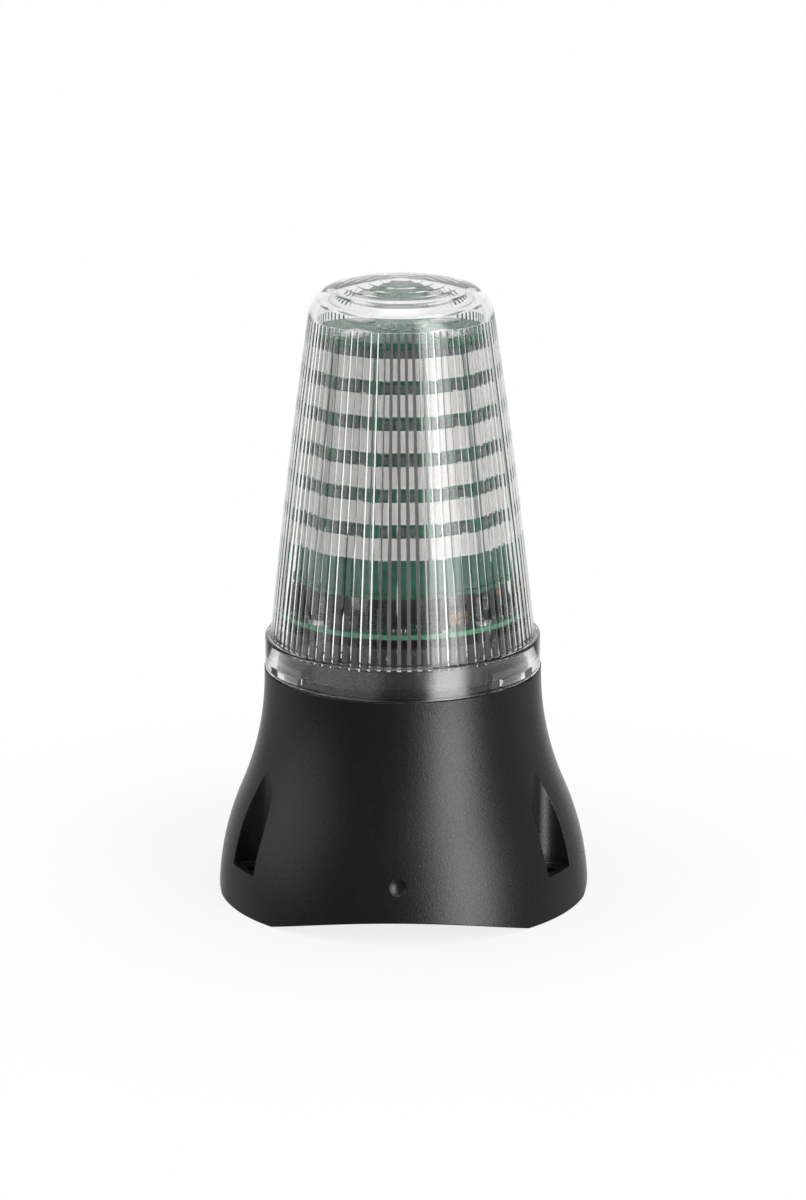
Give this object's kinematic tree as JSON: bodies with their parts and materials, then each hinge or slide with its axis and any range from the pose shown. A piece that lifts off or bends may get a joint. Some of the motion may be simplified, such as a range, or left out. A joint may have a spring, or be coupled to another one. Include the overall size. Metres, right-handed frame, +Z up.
{
  "type": "sounder beacon",
  "caption": "Alarm sounder beacon: flared black base with a sounder inside, a light tower on a round board, and a clear ribbed lens that twists off.",
  "frame": {"origin": "on the axis of the base, in the plane of its feet, at the centre of the fixing holes", "axes": "+Z up along the axis of the lens, -Y towards the front, between two feet"},
  "size_m": [0.1246, 0.1245, 0.2084],
  "materials": {
    "black_housing": "fine moulded texture",
    "clear_lens": "clear, polished",
    "circuit_board": "green solder mask",
    "light_package": "satin",
    "black_component": "satin",
    "amber_slider": "satin",
    "ferrite": "matt",
    "can_aluminium": "satin",
    "brass": "satin",
    "piezo_ceramic": "silvered ceramic",
    "sounder_plastic": "satin",
    "lead_insulation": "gloss",
    "zinc_steel": "zinc plated",
    "rubber": "matt"
  },
  "bodies": {
    "base": {"base_housing": "black_housing", "base_cover": "black_housing", "control_board": "circuit_board", "foot_board": "circuit_board", "top_board": "circuit_board", "led_board_1": "circuit_board", "led_board_2": "circuit_board", "led_board_3": "circuit_board", "led_board_4": "circuit_board", "led_board_5": "circuit_board", "led_board_6": "circuit_board", "led_board_7": "circuit_board", "led_board_8": "circuit_board", "led_board_9": "circuit_board", "led_board_10": "circuit_board", "led_board_11": "circuit_board", "led_board_12": "circuit_board", "top_leds": "light_package", "side_leds_1": "light_package", "side_leds_2": "light_package", "side_leds_3": "light_package", "side_leds_4": "light_package", "side_leds_5": "light_package", "side_leds_6": "light_package", "side_leds_7": "light_package", "side_leds_8": "light_package", "side_leds_9": "light_package", "side_leds_10": "light_package", "side_leds_11": "light_package", "side_leds_12": "light_package", "terminal_block": "black_component", "tone_switch": "black_component", "volume_trimmer": "black_component", "driver_chips": "black_component", "board_headers": "black_component", "power_inductor": "ferrite", "power_capacitors": "can_aluminium", "sounder_diaphragm": "brass", "terminal_screws": "brass", "piezo_disc": "piezo_ceramic", "sounder_body": "sounder_plastic", "sounder_clamp": "sounder_plastic", "sounder_leads": "lead_insulation", "cover_screws": "zinc_steel", "board_screws": "zinc_steel", "sounder_screws": "zinc_steel", "lens_seal": "rubber", "cover_gasket": "rubber", "cable_grommet": "rubber"},
    "lens": {"lens": "clear_lens"},
    "volume_rotor": {"volume_rotor": "brass"},
    "tone_slider_1": {"tone_slider_1": "amber_slider"},
    "tone_slider_2": {"tone_slider_2": "amber_slider"},
    "tone_slider_3": {"tone_slider_3": "amber_slider"},
    "tone_slider_4": {"tone_slider_4": "amber_slider"},
    "tone_slider_5": {"tone_slider_5": "amber_slider"},
    "tone_slider_6": {"tone_slider_6": "amber_slider"}
  },
  "joints": [
    {"name": "lens_twist", "type": "hinge", "parent": "base", "child": "lens", "pos_m": [0, 0, 0.0773], "axis": [0, 0, 1], "range_deg": [0, 30]},
    {"name": "volume_turn", "type": "hinge", "parent": "base", "child": "volume_rotor", "pos_m": [0.01765, -0.03057, 0.1014], "axis": [0.5, -0.866, 0], "range_deg": [-135, 135]},
    {"name": "tone_slide_1", "type": "slide", "parent": "base", "child": "tone_slider_1", "axis": [1, 0, 0], "range_m": [0, 0.002]},
    {"name": "tone_slide_2", "type": "slide", "parent": "base", "child": "tone_slider_2", "axis": [1, 0, 0], "range_m": [0, 0.002]},
    {"name": "tone_slide_3", "type": "slide", "parent": "base", "child": "tone_slider_3", "axis": [1, 0, 0], "range_m": [0, 0.002]},
    {"name": "tone_slide_4", "type": "slide", "parent": "base", "child": "tone_slider_4", "axis": [1, 0, 0], "range_m": [0, 0.002]},
    {"name": "tone_slide_5", "type": "slide", "parent": "base", "child": "tone_slider_5", "axis": [1, 0, 0], "range_m": [0, 0.002]},
    {"name": "tone_slide_6", "type": "slide", "parent": "base", "child": "tone_slider_6", "axis": [1, 0, 0], "range_m": [0, 0.002]}
  ]
}
